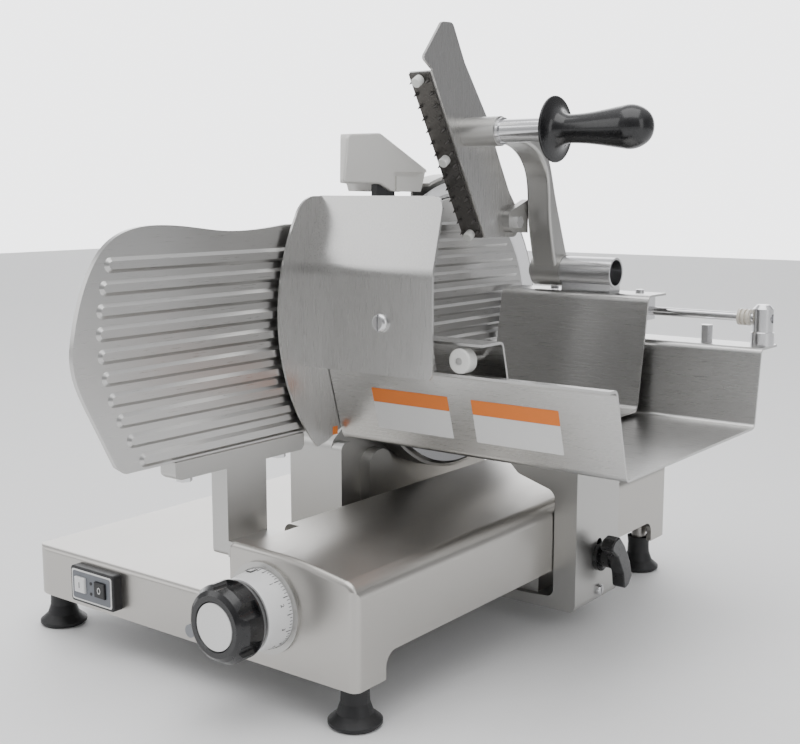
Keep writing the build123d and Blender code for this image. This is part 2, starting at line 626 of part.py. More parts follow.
def thickness_knob():
    """Fluted hand knob with a raised ring round its front disc."""
    y1 = FRONT - 30
    y0 = y1 - 34
    profile = [(y1, 0), (y1, KNOB_R - 4), (y1 - 8, KNOB_R), (y0 + 9, KNOB_R), (y0 + 3, KNOB_R - 4),
               (y0, KNOB_R - 8), (y0, 23), (y0 + 2, 22), (y0 + 2, 0)]
    knob = turned_y(profile, KNOB_X, KNOB_Z)
    for k in range(6):
        turn = radians(30 + 60 * k)
        reach = KNOB_R + 7
        knob -= rod_y(11.0, y0 - 1, y1 - 10, KNOB_X + reach * cos(turn), KNOB_Z + reach * sin(turn))
    return knob - rod_y(KNOB_SHAFT_R + SEAT, FRONT - 42, FRONT - 20, KNOB_X, KNOB_Z)


# ---------------------------------------------------------------- sharpener
SHARP_X = (BLADE_X - 68.0, BLADE_X - 3.0)
SHARP_TOP = BLADE_Z + RING_R      # highest point of the ring
POST_X = BLADE_X - 23.0
BRACKET_X = (BLADE_X - 58.0, BLADE_X - 30.0)
POST_Y = BLADE_Y - 112.0


def sharpener_bracket():
    """Dark arm from the hub to the post that the sharpener slides on."""
    arm = outline([(BLADE_Y - 60, BLADE_Z + 20), (POST_Y - 17, SHARP_TOP - 52),
                   (POST_Y - 17, SHARP_TOP - 25), (POST_Y + 17, SHARP_TOP - 25),
                   (POST_Y + 20, SHARP_TOP - 48), (BLADE_Y - 8, BLADE_Z + 56)], 3)
    body = plate_x(arm, *BRACKET_X)
    body -= rod_x(62.0, PED_BACK - 1, PED_X + 1, BLADE_Y, BLADE_Z)
    body += box(BRACKET_X[0], POST_X + 11, POST_Y - 17, POST_Y + 17, SHARP_TOP - 33, SHARP_TOP - 25)
    body += rod_z(9.0, SHARP_TOP - 26, SHARP_TOP + 14, POST_X, POST_Y)
    body += box(POST_X + 8, POST_X + 15.5, POST_Y - 36.5, POST_Y - 8, SHARP_TOP - 33, SHARP_TOP - 12.4)
    return body - plate_x(pulley_hull(90.0, 52.0), PED_BACK - 1, PED_BACK + 8)


def sharpener_head():
    """Light casting on the post: a tall side with a sloping back, and a pad in a recess below."""
    low = SHARP_TOP - 21
    x0, x1 = SHARP_X
    y_front = POST_Y - 96.0
    shape = outline([(y_front, low + 10), (y_front + 7, low + 59.6), (POST_Y - 34.5, low + 62.5),
                     (POST_Y + 49.5, low + 25), (POST_Y + 40.5, low + 0.5), (POST_Y - 15.5, low + 1.5),
                     (POST_Y - 34.5, low + 9), (POST_Y - 42.5, low + 9.5)],
                    [3, 7, 14, 3, 3, 8, 10, 6])
    body = plate_x(shape, x0, x1)
    taper = Polyline((x1 - 3.5, y_front - 3), (x0 - 3, y_front - 3), (x0 - 3, POST_Y - 6), close=True)
    body -= Pos(0, 0, low) * extrude(make_face(taper), 80)
    body = fillet(body.faces().sort_by(Axis.X)[-1].outer_wire().edges(), 2.5)
    body -= box(x1 - 3, x1 + 1, POST_Y - 12.5, POST_Y + 52, low - 1, low + 22)
    body += box(x1 - 3, x1 - 1, POST_Y - 6.5, POST_Y + 38, low + 1.6, low + 17.5)
    body -= box(POST_X + 7.6, POST_X + 15.9, POST_Y - 37, POST_Y - 7.5, low - 1, low + 9.2)
    body -= rod_x(STONE_R + 1.5, STONE_X[0] - 3, STONE_X[1] + 3, STONE_Y, STONE_Z)
    body -= box(STONE_X[0] - 3, STONE_X[1] + 3, STONE_Y - STONE_R - 1.5, STONE_Y + STONE_R + 1.5,
                low - 1, STONE_Z)
    body -= rod_x(3.0 + RUN, STONE_X[0] - 10, STONE_X[1] + 8, STONE_Y, STONE_Z)
    return body - rod_z(9.0 + RUN, low - 1, low + 48, POST_X, POST_Y)


STONE_X = (BLADE_X - 31.5, BLADE_X - 17.0)
STONE_Y = POST_Y + 30.0
STONE_Z = SHARP_TOP - 5.0
STONE_R = 12.0


def stone(x0, x1, grip):
    """Abrasive disc on its small spindle."""
    body = rod_x(STONE_R, x0, x1, STONE_Y, STONE_Z)
    return body + rod_x(3.0, x0 - grip, x0 + 0.1, STONE_Y, STONE_Z)


# ---------------------------------------------------------------- carriage
def carriage_arm():
    """Casting that wraps round the right wall: a tall wall, a seat under the tray and a foot below."""
    y0, y1 = ARM_Y
    section = outline([
        (HOUSE_X + 31.5, ARM_Z), (HOUSE_X + 31.5, ARM_Z + 12), (ROD_X + 17, ARM_Z + 12),
        (ARM_X, ARM_Z + 14), (ARM_X, HOUSE_Z + 2), (ROD_X, HOUSE_Z + 16), (ROD_X - 35, TRAY_Z - 16),
        (ROD_X - 35, TRAY_Z), (ARM_OUT, TRAY_Z), (ARM_OUT, ARM_Z)],
        [2, 2, 3, 8, 12, 10, 4, 0, 0, 8])
    body = plate_y(section, y0, y1)
    body += box(ROD_X - 23, ROD_X + 23, y0 + 8, y1 - 8, ARM_Z + 10, ROD_Z + 24)
    body += box(HOUSE_X + 31.5, HOUSE_X + 39.5, y0 + 34, y1 - 34, ARM_Z + 10, RAIL_Z + 4)
    body -= rod_y(ROD_R + 4 + SEAT, y0, y1, ROD_X, ROD_Z)
    axle_z = RAIL_Z - GAP - ROLLER_R
    body += rod_x(4.0, HOUSE_X + 11.5, HOUSE_X + 33, (y0 + y1) / 2, axle_z)
    mid = (y0 + y1) / 2 + 4
    for z0, z1, width in ((LOCK_Z - 12, LOCK_Z + 20, 6.2), (ARM_Z + 10, ARM_Z + 20, 3.4)):
        slot = outline([(mid - width, z0), (mid - width, z1), (mid + width, z1), (mid + width, z0)],
                       width * 0.98)
        body -= plate_x(slot, ARM_X + 8, ARM_OUT + 1)
    return body


def carriage_bushes():
    bushes = []
    for y0 in (ARM_Y[0] + 8, ARM_Y[1] - 32):
        bush = rod_y(ROD_R + 4, y0, y0 + 24, ROD_X, ROD_Z)
        bushes.append(bush - rod_y(ROD_R + RUN, y0 - 1, y0 + 25, ROD_X, ROD_Z))
    return Compound(children=bushes)


def carriage_roller():
    axle_z = RAIL_Z - GAP - ROLLER_R
    y = sum(ARM_Y) / 2
    body = rod_x(ROLLER_R, HOUSE_X + 13, HOUSE_X + 27, y, axle_z)
    return body - rod_x(4.0 + RUN, HOUSE_X + 12, HOUSE_X + 28, y, axle_z)


def arm_screw():
    """Slotted stop screw low on the outer face of the arm."""
    y = sum(ARM_Y) / 2 + 4
    head = rod_x(6.0, ARM_OUT, ARM_OUT + 4.5, y, ARM_Z + 13.5)
    head = fillet(head.faces().sort_by(Axis.X)[-1].edges(), 2.0)
    head -= box(ARM_OUT + 3, ARM_OUT + 6, y - 0.8, y + 0.8, ARM_Z, ARM_Z + 30)
    return head + rod_x(3.2, ARM_OUT - 14, ARM_OUT, y, ARM_Z + 13.5)


def wing_knob():
    """Two-winged lock knob with its washer and stud, on the outer face of the arm."""
    y = sum(ARM_Y) / 2 + 4
    z = LOCK_Z
    x = ARM_OUT + 0.2
    body = rod_x(5.5, x - 16, x + 8, y, z) + rod_x(16.0, x, x + 5, y, z) + rod_x(11.0, x + 5, x + 16, y, z)
    wing = outline([(-13, -8), (-31, -15), (-34, -4), (-30, 7), (-12, 11), (12, 11), (30, 7),
                    (34, -4), (31, -15), (13, -8)], [4, 5, 7, 5, 8, 8, 5, 7, 5, 4])
    grip = extrude(Plane.YZ * wing, amount=15, dir=(1, 0, 0))
    grip = fillet(grip.edges().filter_by(Plane.YZ), 2.0)
    return body + Pos(x + 15, y, z) * Rot(-58, 0, 0) * grip


def outer_tray():
    """Folded tray: front wall with a small flange, floor, rear wall with a wide flange."""
    half = TRAY_T / 2
    path = [(TRAY_FRONT - 37.5, TRAY_TOP - half), (TRAY_FRONT - 24, TRAY_TOP - half),
            (TRAY_FRONT, TRAY_Z + half), (TRAY_REAR, TRAY_Z + half),
            (TRAY_REAR + 11.3, TRAY_TOP - half), (TRAY_REAR + 56.5, TRAY_TOP - half)]
    body = plate_x(sheet(path, 6.0, TRAY_T), TRAY_X, TRAY_END)
    for x in GUARD_SCREW_X:
        body -= rod_z(2.5 + SEAT, TRAY_TOP - 5, TRAY_TOP + 5, x, GUARD_SCREW_Y)
    for x in POST_PLACES:
        body -= rod_z(4.0 + SEAT, TRAY_TOP - 5, TRAY_TOP + 5, x, SLIDE_Y)
    return body - rod_z(4.0 + SEAT, TRAY_TOP - 5, TRAY_TOP + 5, STUD_X, SLIDE_Y - 4)


GUARD_SCREW_X = (TRAY_X + 24.0, TRAY_X + 44.0)
GUARD_SCREW_Y = TRAY_FRONT - 33.0
POST_PLACES = (TRAY_X + 14.0, TRAY_END - 10.5)
STUD_X = TRAY_END - 73.0
GUARD_Y = TRAY_FRONT - 58.5       # front panel of the hand guard
ARC_R = 196.0
ARC_Y = GUARD_Y + 160.3
ARC_Z = 350.0


def hand_guard():
    """Arc plate beside the blade and a front panel whose upper part leans back, in one sheet."""
    x0 = TRAY_X - 3.5
    x1 = x0 + TRAY_T
    top_z = 467.0
    low_z = 215.0
    start = (ARC_Y - sqrt(ARC_R ** 2 - (top_z - 20 - ARC_Z) ** 2), top_z - 20)
    end = (ARC_Y - sqrt(ARC_R ** 2 - (low_z + 6 - ARC_Z) ** 2), low_z + 6)
    edges = [
        ThreePointArc(start, (ARC_Y - ARC_R, ARC_Z), end),
        Line(end, (end[0] + 5, low_z)),
        Line((end[0] + 5, low_z), (GUARD_Y + 32, low_z + 3)),
        Line((GUARD_Y + 32, low_z + 3), (GUARD_Y + 55, low_z + 14)),
        Line((GUARD_Y + 55, low_z + 14), (GUARD_Y + 40, 300)),
        Line((GUARD_Y + 40, 300), (GUARD_Y + 1, 300)),
        Line((GUARD_Y + 1, 300), (GUARD_Y + 1, 397)),
        Line((GUARD_Y + 1, 397), (GUARD_Y + 29, top_z)),
        Line((GUARD_Y + 29, top_z), (start[0] + 26, top_z)),
        ThreePointArc((start[0] + 26, top_z), (start[0] + 9.5, top_z - 7), start),
    ]
    arc_plate = plate_x(make_face(edges), x0, x1)
    lean = sheet([(GUARD_Y + TRAY_T / 2, 300), (GUARD_Y + TRAY_T / 2, 397), (GUARD_Y + 29.5, top_z)],
                 30.0, TRAY_T)
    panel = plate_x(lean, x0, x0 + 158)
    corner = outline([(x0, 299), (x0, top_z + 0.5), (x0 + 151, top_z + 0.5), (x0 + 158, 397), (x0 + 158, 299)],
                     [0, 0, 15, 60, 7])
    panel &= plate_y(corner, GUARD_Y - 10, GUARD_Y + 60)
    foot = box(x1 + 6, x0 + 62, GUARD_Y + 1, TRAY_FRONT - 26, TRAY_TOP, TRAY_TOP + TRAY_T)
    for x in GUARD_SCREW_X:
        foot -= rod_z(2.5 + SEAT, TRAY_TOP - 5, TRAY_TOP + 8, x, GUARD_SCREW_Y)
    return arc_plate + panel + foot


def carriage_screws():
    """Screws of the hand guard and of the arm, and the hexagon stud on the rear flange."""
    screws = []
    for x in GUARD_SCREW_X:
        screws.append(screw_z(x, GUARD_SCREW_Y, TRAY_TOP - TRAY_T, TRAY_TOP + 6, 2.5, 4.0, 3.6))
    x = TRAY_X + 95.5
    dome = rod_y(9.0, GUARD_Y - 5.5, GUARD_Y, x, 349.5)
    dome = fillet(dome.faces().sort_by(Axis.Y)[0].edges(), 4.0)
    screws.append(dome - box(x - 0.9, x + 0.9, GUARD_Y - 7, GUARD_Y - 3, 335, 364))
    screws += [arm_screw(), hex_stud()]
    return Compound(children=screws)


def tray_rod():
    return rod_x(SLIDE_R, POST_PLACES[0] - 6, POST_PLACES[1] + 6, SLIDE_Y, SLIDE_Z)


def rod_posts():
    """Turned posts on the rear flange that hold the tray rod, each with a stud through the flange."""
    posts = []
    for x in POST_PLACES:
        profile = [(TRAY_TOP - TRAY_T, 0), (TRAY_TOP - TRAY_T, 4), (TRAY_TOP, 4), (TRAY_TOP, 12.5),
                   (TRAY_TOP + 14, 12.5), (TRAY_TOP + 15, 11), (TRAY_TOP + 40, 11),
                   (TRAY_TOP + 44.5, 7), (TRAY_TOP + 44.5, 0)]
        post = turned_z(profile, x, SLIDE_Y)
        posts.append(post - rod_x(SLIDE_R + SEAT, x - 20, x + 20, SLIDE_Y, SLIDE_Z))
    return Compound(children=posts)


def rod_bumper():
    """Ribbed soft stop on the rod beside the right post."""
    x1 = POST_PLACES[1] - 13
    body = rod_x(7.0, x1 - 14, x1, SLIDE_Y, SLIDE_Z)
    for k in range(3):
        body += rod_x(9.0, x1 - 14 + 5 * k, x1 - 11 + 5 * k, SLIDE_Y, SLIDE_Z)
    return body - rod_x(SLIDE_R + SEAT, x1 - 20, x1 + 5, SLIDE_Y, SLIDE_Z)


def hex_stud():
    body = Pos(STUD_X, SLIDE_Y - 4, TRAY_TOP) * extrude(RegularPolygon(7.0, 6), amount=19)
    return body + rod_z(4.0, TRAY_TOP - TRAY_T, TRAY_TOP, STUD_X, SLIDE_Y - 4)


# ---------------------------------------------------------------- inner tray
FRONT_BRACKET_X = (INNER_END - 81.0, INNER_END)
ROLLER_AT = (INNER_END - 25.5, TRAY_TOP + TRAY_ROLLER_R + GAP)
ROLLER_Y = TRAY_FRONT - 30.5


def inner_tray():
    """Folded plate with a floor and a high rear wall, and a short bracket at its front right."""
    half = TRAY_T / 2
    rear_path = [(TRAY_FRONT + 28, INNER_Z + half), (TRAY_REAR - 18.5, INNER_Z + half),
                 (TRAY_REAR + 3.3, INNER_TOP - half), (SLIDE_Y + 9, INNER_TOP - half)]
    body = plate_x(sheet(rear_path, 8.0, TRAY_T), TRAY_X + 0.5, INNER_END)
    front_path = [(TRAY_FRONT + 34, INNER_Z + half), (TRAY_FRONT + 26, INNER_Z + half),
                  (TRAY_FRONT - 2, INNER_TOP - 21 - half), (TRAY_FRONT - 36, INNER_TOP - 21 - half)]
    x0, x1 = FRONT_BRACKET_X
    body += plate_x(sheet(front_path, 6.0, TRAY_T), x0, x1)
    for x in SLIDER_X:
        body -= rod_z(3.0 + SEAT, INNER_TOP - 5, INNER_TOP + 5, x, SLIDE_Y - 2)
    axle_x, axle_z = ROLLER_AT
    body += rod_y(3.5, ROLLER_Y - 6.5, TRAY_FRONT + 1, axle_x, axle_z)
    return body


SLIDER_X = (TRAY_X + 54.0, INNER_END - 28.0)


def rod_sliders():
    """Two bushed blocks under the flange of the inner tray, which run on the rod."""
    blocks = []
    for x in SLIDER_X:
        block = box(x - 15, x + 15, SLIDE_Y - 10.5, SLIDE_Y + 8.5, SLIDE_Z - 10, INNER_TOP - TRAY_T)
        block -= rod_x(SLIDE_R + RUN, x - 16, x + 16, SLIDE_Y, SLIDE_Z)
        blocks.append(block - rod_z(3.0 + SEAT, INNER_TOP - 10, INNER_TOP, x, SLIDE_Y - 2))
    return Compound(children=blocks)


def tray_screws():
    screws = []
    for x in SLIDER_X:
        screws.append(screw_z(x, SLIDE_Y - 2, INNER_TOP, INNER_TOP - 10, 3.0, 5.0, 3.5))
    return Compound(children=screws)


def tray_roller():
    """White nylon roller at the front of the inner tray, on the outer tray's flange."""
    x, z = ROLLER_AT
    body = rod_y(TRAY_ROLLER_R, ROLLER_Y - 6, ROLLER_Y + 6, x, z)
    body = fillet(body.faces().sort_by(Axis.Y)[0].edges(), 2.0)
    return body - rod_y(3.5 + RUN, ROLLER_Y - 8, ROLLER_Y + 8, x, z)


TUBE_X = (TRAY_X + 78.5, TRAY_X + 144.0)


def pivot_tube():
    """Tube on a saddle: its left end is the bearing of the press, its right end stays open."""
    x0, x1 = TUBE_X
    body = rod_x(TUBE_R, x0, x1, PIVOT_Y, PIVOT_Z)
    foot = outline([(PIVOT_Y - 13, INNER_TOP), (PIVOT_Y - 13, INNER_TOP + 2), (PIVOT_Y - 8, PIVOT_Z),
                    (PIVOT_Y + 8, PIVOT_Z), (PIVOT_Y + 13, INNER_TOP + 2), (PIVOT_Y + 13, INNER_TOP)], 0)
    body += plate_x(foot, x0 + 1, x1 - 1)
    body -= rod_x(TUBE_R - 2.5, x0 + 30, x1 + 1, PIVOT_Y, PIVOT_Z)
    return body - rod_x(PIVOT_R + RUN, x0 - 1, x1, PIVOT_Y, PIVOT_Z)


# ---------------------------------------------------------------- product press
LEAN = radians(STRIP_LEAN)
STRIP_LOW = (PIVOT_Y - 104.0, PIVOT_Z + 42.5)
STRIP_LEN = 207.0
ARM_BAR_X = (TRAY_X + 42.5, TRAY_X + 74.5)
HUB_X = (TRAY_X + 38.5, TUBE_X[0] - GAP)
PRESS_BOLT = (PIVOT_Y - 57.5, PIVOT_Z + 58.0)


def along_strip(distance, out):
    """Point at a distance up the strip from its lower end, and out in front of it."""
    y = STRIP_LOW[0] - distance * sin(LEAN) - out * cos(LEAN)
    z = STRIP_LOW[1] + distance * cos(LEAN) - out * sin(LEAN)
    return (y, z)


def press_arm():
    """Cast arm: a hub on the pivot, a bar that bows forward, and a sleeve round the handle shaft."""
    x0, x1 = ARM_BAR_X
    py, pz = PIVOT_Y, PIVOT_Z
    hy, hz = HANDLE_Y, HANDLE_Z
    inner = Spline((py - 17, pz + 3), (py - 34, pz + 72), (py - 43, pz + 118), (py - 66, pz + 139),
                   (hy + 2, hz - 11), tangents=[(-0.35, 1), (-1, 0)])
    outer = Spline((py + 16, pz + 6), (py - 6, pz + 55), (py - 22, pz + 95), (py - 42, pz + 140),
                   (py - 72, pz + 162), (hy - 2, hz + 11), tangents=[(-0.55, 1), (-1, 0)])
    face = make_face([inner, Line(inner @ 1, outer @ 1), outer, Line(outer @ 0, inner @ 0)])
    body = plate_x(face, x0, x1)
    long_edges = body.edges().filter_by(lambda e: abs((e @ 0 - e @ 1).X) < 0.01 and e.length > 100)
    body = fillet(long_edges, 4.0)
    body += rod_x(18.5, HUB_X[0], HUB_X[1], py, pz)
    body += rod_x(HANDLE_R + 3.5, WEB_X[1], x1 + 2, hy, hz)
    lug = outline([(py - 30, pz + 45), (py - 72, pz + 47), (py - 72, pz + 70), (py - 30, pz + 84)],
                  [0, 10, 10, 0])
    body += plate_x(lug, WEB_X[1], WEB_X[1] + 9)
    body -= rod_x(HANDLE_R + SEAT, WEB_X[1] - 5, x1 + 10, hy, hz)
    body -= rod_x(PIVOT_R + SEAT, HUB_X[0] - 1, HUB_X[1] + 1, py, pz)
    return body - rod_x(4.0 + SEAT, WEB_X[0] - 5, WEB_X[1] + 12, *PRESS_BOLT)


def pivot_pin():
    body = rod_x(PIVOT_R, HUB_X[0] - 3, TUBE_X[0] + 28, PIVOT_Y, PIVOT_Z)
    return body + rod_x(12.0, HUB_X[0] - 5, HUB_X[0], PIVOT_Y, PIVOT_Z)


def press_plate():
    """Web plate beside the product, with a flange that the spiked strip is fixed to."""
    top = along_strip(STRIP_LEN, 0)
    py, pz = PIVOT_Y, PIVOT_Z
    web = outline([STRIP_LOW, top, (top[0] - 18, top[1] + 11), (py - 195, pz + 271),
                   (py - 175, pz + 272), (py - 152, pz + 232), (py - 106, pz + 175),
                   (py - 80, pz + 129), (py - 58, pz + 93), (py - 30, pz + 62), (py - 42, pz + 40)],
                  [2, 3, 4, 8, 8, 30, 60, 60, 30, 14, 12])
    body = plate_x(web, WEB_X[0], WEB_X[1])
    flange = Polyline(along_strip(0, 0), along_strip(STRIP_LEN, 0), along_strip(STRIP_LEN, 2.5),
                      along_strip(0, 2.5), close=True)
    body += plate_x(make_face(flange), STRIP_X[0], WEB_X[1])
    body -= rod_x(HANDLE_R + SEAT, WEB_X[0] - 5, WEB_X[1] + 5, HANDLE_Y, HANDLE_Z)
    return body - rod_x(4.0 + SEAT, WEB_X[0] - 5, WEB_X[1] + 5, *PRESS_BOLT)


def spike_strip():
    """Strip with two rows of spikes, on the front of the flange."""
    x0, x1 = STRIP_X
    face = Polyline(along_strip(1, 2.5), along_strip(STRIP_LEN - 1, 2.5),
                    along_strip(STRIP_LEN - 1, 4.5), along_strip(1, 4.5), close=True)
    body = plate_x(make_face(face), x0, x1 - 1)
    for row_x in (x0 + 2.5, x1 - 4.5):
        for k in range(14):
            y, z = along_strip(9 + 14.5 * k, 4.2)
            spike = Rot(90 + STRIP_LEAN, 0, 0) * Pos(0, 0, 3.5) * Cone(2.2, 0.25, 7.0)
            body += Pos(row_x, y, z) * spike
    return body


def press_bumpers():
    """Three nylon buttons on the strip."""
    buttons = []
    for share in (0.035, 0.5, 0.965):
        y, z = along_strip(STRIP_LEN * share, 4.5)
        place = Pos((STRIP_X[0] + STRIP_X[1]) / 2 - 0.5, y, z)
        knob = place * Rot(90 + STRIP_LEAN, 0, 0) * Pos(0, 0, 5) * Cylinder(5.5, 10.0)
        buttons.append(fillet(knob.edges(), 1.2))
    return Compound(children=buttons)


GRIP_X = WEB_X[1] + 101.0


def handle_shaft():
    body = rod_x(HANDLE_R, WEB_X[0], GRIP_X + 30, HANDLE_Y, HANDLE_Z)
    body += rod_x(14.5, ARM_BAR_X[1] + 2, ARM_BAR_X[1] + 6, HANDLE_Y, HANDLE_Z)
    return body


def handle_grip():
    """Black grip: a broad guard disc, then a taper that ends in a round knob."""
    x = GRIP_X
    face = make_face([
        Line((x, 0), (x, 14)),
        Spline((x, 14), (x + 7, 25), (x + 8, 33.5), tangents=[(1, 0.7), (0, 1)]),
        ThreePointArc((x + 8, 33.5), (x + 9.5, 34.5), (x + 11, 33.5)),
        Spline((x + 11, 33.5), (x + 14, 22), (x + 27, 14.8), tangents=[(0.1, -1), (1, -0.1)]),
        Spline((x + 27, 14.8), (x + 62, 17.5), (x + 92, 22.0), tangents=[(1, 0), (1, 0.14)]),
        Spline((x + 92, 22.0), (x + 108, 19), (x + 119, 0), tangents=[(1, 0.14), (0, -1)]),
        Line((x + 119, 0), (x, 0)),
    ])
    body = Pos(0, HANDLE_Y, HANDLE_Z) * revolve(face, axis=Axis.X)
    return body - rod_x(HANDLE_R + SEAT, x - 1, x + 30.2, HANDLE_Y, HANDLE_Z)


def press_bolt():
    """Bolt and nut that join the web to the arm."""
    y, z = PRESS_BOLT
    body = rod_x(4.0, WEB_X[0], WEB_X[1] + 9, y, z)
    nut = Plane.YZ.offset(WEB_X[1] + 9) * Pos(y, z) * RegularPolygon(7.5, 6)
    return body + extrude(nut, amount=6.5, dir=(1, 0, 0)) + rod_x(7.0, WEB_X[0] - 3.5, WEB_X[0], y, z)


# ---------------------------------------------------------------- all parts
def build_parts():
    return {
        "base_casting": base_casting(),
        "rubber_feet": rubber_feet(),
        "bottom_cover": bottom_cover(),
        "carriage_guide_rod": carriage_guide_rod(),
        "roller_rail": roller_rail(),
        "switch_box": switch_box(),
        "start_button": button(BUTTON_X[0]),
        "stop_button": button(BUTTON_X[1]),
        "cable_gland": cable_gland(),
        "front_plug": front_plug(),
        "pedestal": pedestal(),
        "hub_bearings": hub_bearings(),
        "drive_housing": drive_housing(),
        "motor_housing": motor_housing(),
        "motor_shaft": motor_shaft(),
        "motor_pulley": pulley(DRIVER_R, MOTOR_SHAFT_R, MOTOR_Y, MOTOR_Z, False),
        "blade_pulley": pulley(DRIVEN_R, SHAFT_R, BLADE_Y, BLADE_Z, True),
        "drive_belt": drive_belt(),
        "cover_tie_rod": cover_tie_rod(),
        "blade": blade(),
        "blade_hub": blade_hub(),
        "blade_screws": blade_screws(),
        "blade_cover": blade_cover(),
        "blade_ring": blade_ring(),
        "gauge_plate": gauge_plate(),
        "gauge_bracket": gauge_bracket(),
        "gauge_bolts": gauge_bolts(),
        "gauge_rods": gauge_rods(),
        "cam_shaft": cam_shaft(),
        "dial_bezel": dial_bezel(),
        "dial_ring": dial_ring(),
        "thickness_knob": thickness_knob(),
        "sharpener_bracket": sharpener_bracket(),
        "sharpener_head": sharpener_head(),
        "grinding_stone": stone(STONE_X[1] - 6, STONE_X[1], 3.5 + STONE_X[1] - STONE_X[0]),
        "carriage_arm": carriage_arm(),
        "carriage_bushes": carriage_bushes(),
        "carriage_roller": carriage_roller(),
        "wing_knob": wing_knob(),
        "outer_tray": outer_tray(),
        "hand_guard": hand_guard(),
        "carriage_screws": carriage_screws(),
        "tray_rod": tray_rod(),
        "rod_posts": rod_posts(),
        "rod_bumper": rod_bumper(),
        "inner_tray": inner_tray(),
        "rod_sliders": rod_sliders(),
        "tray_screws": tray_screws(),
        "tray_roller": tray_roller(),
        "pivot_tube": pivot_tube(),
        "press_arm": press_arm(),
        "pivot_pin": pivot_pin(),
        "press_plate": press_plate(),
        "spike_strip": spike_strip(),
        "press_bumpers": press_bumpers(),
        "handle_shaft": handle_shaft(),
        "handle_grip": handle_grip(),
        "press_bolt": press_bolt(),
    }


def main():
    os.makedirs("parts", exist_ok=True)
    parts = build_parts()
    boxes = [shape.bounding_box() for shape in parts.values()]
    mid_x = (min(b.min.X for b in boxes) + max(b.max.X for b in boxes)) / 2
    mid_y = (min(b.min.Y for b in boxes) + max(b.max.Y for b in boxes)) / 2
    print("origin moved from the base's middle by", round(mid_x, 3), round(mid_y, 3))
    for name, shape in parts.items():
        export_step(Pos(-mid_x, -mid_y, 0) * shape, f"parts/{name}.step")
    print(len(parts), "nodes")


main()
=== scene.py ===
from math import cos, pi, radians, sin

import bpy
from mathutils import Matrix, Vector


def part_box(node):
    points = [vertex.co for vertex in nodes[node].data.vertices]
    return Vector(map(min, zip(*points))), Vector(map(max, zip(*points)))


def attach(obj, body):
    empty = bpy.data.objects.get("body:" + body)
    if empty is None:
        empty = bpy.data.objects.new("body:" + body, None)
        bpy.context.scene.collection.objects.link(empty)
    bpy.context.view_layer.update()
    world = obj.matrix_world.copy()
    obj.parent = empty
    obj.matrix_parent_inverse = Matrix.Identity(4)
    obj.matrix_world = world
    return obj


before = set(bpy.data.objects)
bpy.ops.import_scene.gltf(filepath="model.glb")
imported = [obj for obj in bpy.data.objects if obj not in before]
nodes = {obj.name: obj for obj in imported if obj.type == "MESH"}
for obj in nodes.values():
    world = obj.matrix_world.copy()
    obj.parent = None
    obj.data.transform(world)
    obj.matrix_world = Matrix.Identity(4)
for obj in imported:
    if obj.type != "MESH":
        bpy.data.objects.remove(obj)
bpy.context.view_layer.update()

bpy.ops.object.select_all(action="DESELECT")

# ------------------------------------------------------------ camera
CAMERA_LENS = 53.66  # mm, on a sensor 36 mm wide
CAMERA_PAN = radians(37.361)
CAMERA_DIP = radians(8.726)
CAMERA_RIGHT = 0.6211  # past the right side of the base
CAMERA_FRONT = 1.0587  # in front of the base's middle
CAMERA_HEIGHT = 0.4738

base_low, base_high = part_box("base_casting")
base_mid = (base_low + base_high) / 2
camera_data = bpy.data.cameras.new("shop_camera")
camera_data.lens = CAMERA_LENS
camera_data.sensor_width = 36.0
camera_data.sensor_fit = "HORIZONTAL"
camera = bpy.data.objects.new("shop_camera", camera_data)
bpy.context.scene.collection.objects.link(camera)
camera.location = (base_high.x + CAMERA_RIGHT, base_mid.y - CAMERA_FRONT, CAMERA_HEIGHT)
camera.rotation_euler = (radians(90) - CAMERA_DIP, 0, CAMERA_PAN)
bpy.context.scene.camera = camera


# ------------------------------------------------------------ finishes
TONE_LOW, TONE_HIGH = 0.3, 0.7  # part of the noise that the tones and the gloss span


